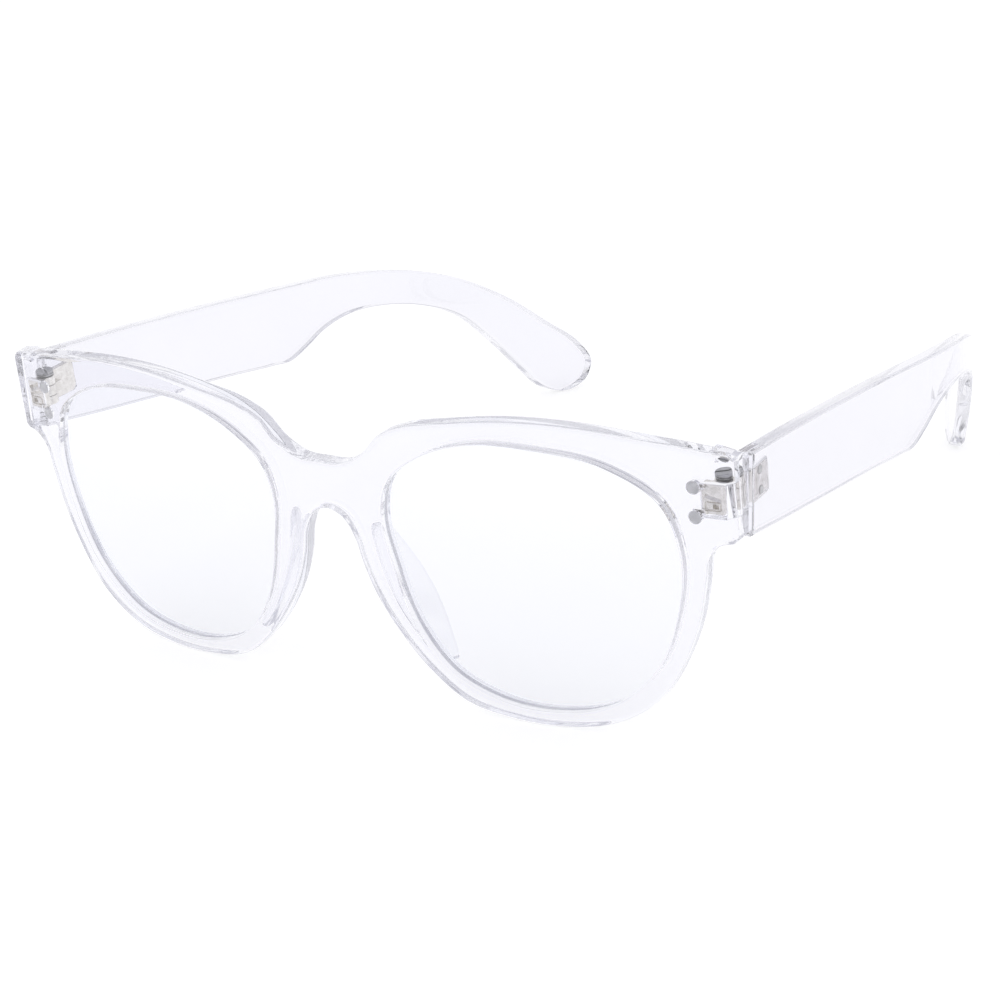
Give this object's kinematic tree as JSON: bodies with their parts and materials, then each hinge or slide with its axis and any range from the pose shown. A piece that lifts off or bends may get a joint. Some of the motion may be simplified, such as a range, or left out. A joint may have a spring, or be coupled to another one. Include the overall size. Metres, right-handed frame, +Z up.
{
  "type": "eyeglasses",
  "caption": "Clear plastic full-rim eyeglasses standing open, with clear lenses, fixed nose pads and temples that fold on metal hinges.",
  "frame": {"origin": "on the surface the glasses stand on, in their plane of symmetry, half-way between the face of the front and the tips of the temples", "axes": "+X towards the wearer's left, +Y back towards the ears, +Z up; the front faces -Y and the temples are open"},
  "size_m": [0.145, 0.1552, 0.0538],
  "materials": {
    "clear_plastic": "polished, water-clear with a faint cool tint",
    "coated_lens": "polished, with an anti-reflection coating",
    "nickel_hinge": "satin nickel plate, slightly warm",
    "steel_screw": "turned steel, dark",
    "bright_stud": "matt, bright"
  },
  "bodies": {
    "front": {"front_frame": "clear_plastic", "lens_left": "coated_lens", "nose_pad_left": "clear_plastic", "hinge_front_leaf_left": "nickel_hinge", "front_stud_upper_left": "bright_stud", "front_stud_lower_left": "bright_stud", "hinge_screw_left": "steel_screw", "lens_right": "coated_lens", "nose_pad_right": "clear_plastic", "hinge_front_leaf_right": "nickel_hinge", "front_stud_upper_right": "bright_stud", "front_stud_lower_right": "bright_stud", "hinge_screw_right": "steel_screw"},
    "temple_left": {"temple_left": "clear_plastic", "hinge_temple_leaf_left": "nickel_hinge", "temple_stud_upper_left": "bright_stud", "temple_stud_lower_left": "bright_stud"},
    "temple_right": {"temple_right": "clear_plastic", "hinge_temple_leaf_right": "nickel_hinge", "temple_stud_upper_right": "bright_stud", "temple_stud_lower_right": "bright_stud"}
  },
  "joints": [
    {"name": "temple_fold_left", "type": "hinge", "parent": "front", "child": "temple_left", "pos_m": [0.0685, -0.06419, 0.04272], "axis": [0, -0.0598, 0.9982], "range_deg": [0, 82]},
    {"name": "temple_fold_right", "type": "hinge", "parent": "front", "child": "temple_right", "pos_m": [-0.0685, -0.06419, 0.04272], "axis": [0, 0.0598, -0.9982], "range_deg": [0, 72]}
  ]
}
